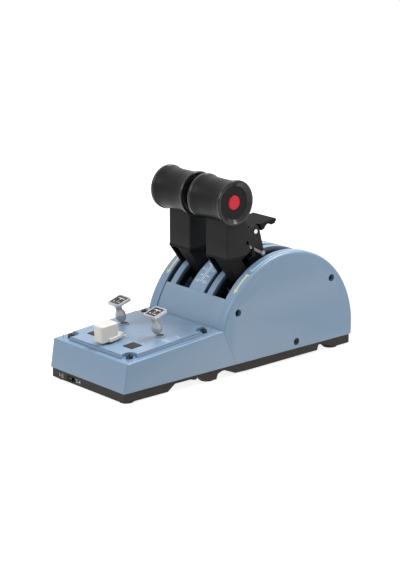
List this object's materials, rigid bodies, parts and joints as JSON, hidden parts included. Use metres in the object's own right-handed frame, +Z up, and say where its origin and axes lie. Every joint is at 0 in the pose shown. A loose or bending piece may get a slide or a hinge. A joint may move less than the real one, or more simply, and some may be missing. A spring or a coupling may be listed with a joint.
{
  "type": "throttle quadrant",
  "caption": "Desktop throttle quadrant: slotted half-drum with paired thrust levers, reverse paddles and a sloped panel with selector knob, toggles and keys.",
  "frame": {"origin": "middle of the footprint, on the plane the rubber feet stand on", "axes": "+X to the object's right, +Y away from the user towards the drum, +Z up"},
  "size_m": [0.1, 0.2608, 0.1685],
  "materials": {
    "shell_blue": "satin moulded plastic, steel blue",
    "base_black": "fine-grained black moulding",
    "foot_rubber": "soft black rubber",
    "screw_black": "black oxide",
    "lever_black": "fine-grained charcoal moulding",
    "grip_black": "satin black",
    "button_red": "semi-gloss red",
    "knob_ivory": "semi-gloss ivory",
    "toggle_silver": "satin silver paint",
    "key_black": "smoky black",
    "steel": "bright steel",
    "board_green": "circuit board",
    "inner_grey": "glass-filled dark grey",
    "felt": "felt"
  },
  "bodies": {
    "housing": {"base_pan": "base_black", "rubber_feet": "foot_rubber", "front_housing": "shell_blue", "centre_cover": "shell_blue", "side_cover_screws": "screw_black", "base_screws": "screw_black", "control_plate": "shell_blue", "plate_screws": "screw_black", "key_switches": "inner_grey", "selector_switch": "inner_grey", "toggle_switches": "toggle_silver", "toggle_pins": "steel", "panel_board": "board_green", "pairing_switch": "inner_grey", "main_board": "board_green", "usb_socket": "steel", "hall_boards": "board_green", "axle_pedestals": "inner_grey", "lever_axle": "steel", "axle_clips": "steel", "friction_discs": "felt", "detent_plungers": "steel", "detent_posts": "inner_grey", "left_side_cover": "shell_blue", "right_side_cover": "shell_blue"},
    "selector": {"selector_knob": "knob_ivory", "selector_shaft": "steel"},
    "pairing_switch_slider": {"pairing_slider": "base_black"},
    "left_lever": {"left_lever_arm": "lever_black", "left_lever_body": "lever_black", "left_grip_sleeve": "grip_black", "left_grip_core": "inner_grey", "left_grip_caps": "grip_black", "left_button_switch": "inner_grey", "left_detent_plate": "steel", "left_paddle_bracket": "lever_black", "left_bracket_pins": "steel", "left_paddle_spring": "steel"},
    "left_paddle": {"left_reverse_paddle": "lever_black"},
    "left_latch": {"left_latch": "steel", "left_latch_block": "lever_black"},
    "left_button": {"left_disconnect_button": "button_red"},
    "left_engine_toggle": {"left_toggle": "toggle_silver"},
    "left_key": {"left_key_cap": "key_black"},
    "right_lever": {"right_lever_arm": "lever_black", "right_lever_body": "lever_black", "right_grip_sleeve": "grip_black", "right_grip_core": "inner_grey", "right_grip_caps": "grip_black", "right_button_switch": "inner_grey", "right_detent_plate": "steel", "right_paddle_bracket": "lever_black", "right_bracket_pins": "steel", "right_paddle_spring": "steel"},
    "right_paddle": {"right_reverse_paddle": "lever_black"},
    "right_latch": {"right_latch": "steel", "right_latch_block": "lever_black"},
    "right_button": {"right_disconnect_button": "button_red"},
    "right_engine_toggle": {"right_toggle": "toggle_silver"},
    "right_key": {"right_key_cap": "key_black"}
  },
  "joints": [
    {"name": "left_lever_swing", "type": "hinge", "parent": "housing", "child": "left_lever", "pos_m": [-0.02415, 0.05295, 0.0192], "axis": [-1, 0, 0], "range_deg": [-15, 45]},
    {"name": "left_paddle_lift", "type": "hinge", "parent": "left_lever", "child": "left_paddle", "pos_m": [-0.02415, 0.02545, 0.1187], "axis": [1, 0, 0], "range_deg": [0, 22], "stiffness_Nm_per_rad": 0.12, "springref_deg": -20.05},
    {"name": "left_latch_release", "type": "hinge", "parent": "left_lever", "child": "left_latch", "pos_m": [-0.02415, 0.033, 0.0988], "axis": [1, 0, 0], "range_deg": [-10, 0]},
    {"name": "left_disconnect_press", "type": "slide", "parent": "left_lever", "child": "left_button", "axis": [1, 0, 0], "range_m": [0, 0.0015], "stiffness_N_per_m": 600, "springref_m": -0.001},
    {"name": "left_engine_switch", "type": "hinge", "parent": "housing", "child": "left_engine_toggle", "pos_m": [-0.024, -0.07015, 0.03743], "axis": [-1, 0, 0], "range_deg": [0, 34]},
    {"name": "left_key_press", "type": "slide", "parent": "housing", "child": "left_key", "axis": [0, 0.0739, -0.9973], "range_m": [0, 0.0015], "stiffness_N_per_m": 400, "springref_m": -0.0008},
    {"name": "right_lever_swing", "type": "hinge", "parent": "housing", "child": "right_lever", "pos_m": [0.02415, 0.05295, 0.0192], "axis": [-1, 0, 0], "range_deg": [-15, 45]},
    {"name": "right_paddle_lift", "type": "hinge", "parent": "right_lever", "child": "right_paddle", "pos_m": [0.02415, 0.02545, 0.1187], "axis": [1, 0, 0], "range_deg": [0, 22], "stiffness_Nm_per_rad": 0.12, "springref_deg": -20.05},
    {"name": "right_latch_release", "type": "hinge", "parent": "right_lever", "child": "right_latch", "pos_m": [0.02415, 0.033, 0.0988], "axis": [1, 0, 0], "range_deg": [-10, 0]},
    {"name": "right_disconnect_press", "type": "slide", "parent": "right_lever", "child": "right_button", "axis": [-1, 0, 0], "range_m": [0, 0.0015], "stiffness_N_per_m": 600, "springref_m": -0.001},
    {"name": "right_engine_switch", "type": "hinge", "parent": "housing", "child": "right_engine_toggle", "pos_m": [0.024, -0.07015, 0.03743], "axis": [-1, 0, 0], "range_deg": [0, 34]},
    {"name": "right_key_press", "type": "slide", "parent": "housing", "child": "right_key", "axis": [0, 0.0739, -0.9973], "range_m": [0, 0.0015], "stiffness_N_per_m": 400, "springref_m": -0.0008},
    {"name": "mode_selector_turn", "type": "hinge", "parent": "housing", "child": "selector", "pos_m": [0, -0.10796, 0.03613], "axis": [0, -0.0739, 0.9973], "range_deg": [-45, 45]},
    {"name": "pairing_switch_slide", "type": "slide", "parent": "housing", "child": "pairing_switch_slider", "axis": [1, 0, 0], "range_m": [0, 0.004]}
  ],
  "couplings": [
    {"joint": "left_latch_release", "follows": "left_paddle_lift", "ratio": -0.45},
    {"joint": "right_latch_release", "follows": "right_paddle_lift", "ratio": -0.45}
  ]
}
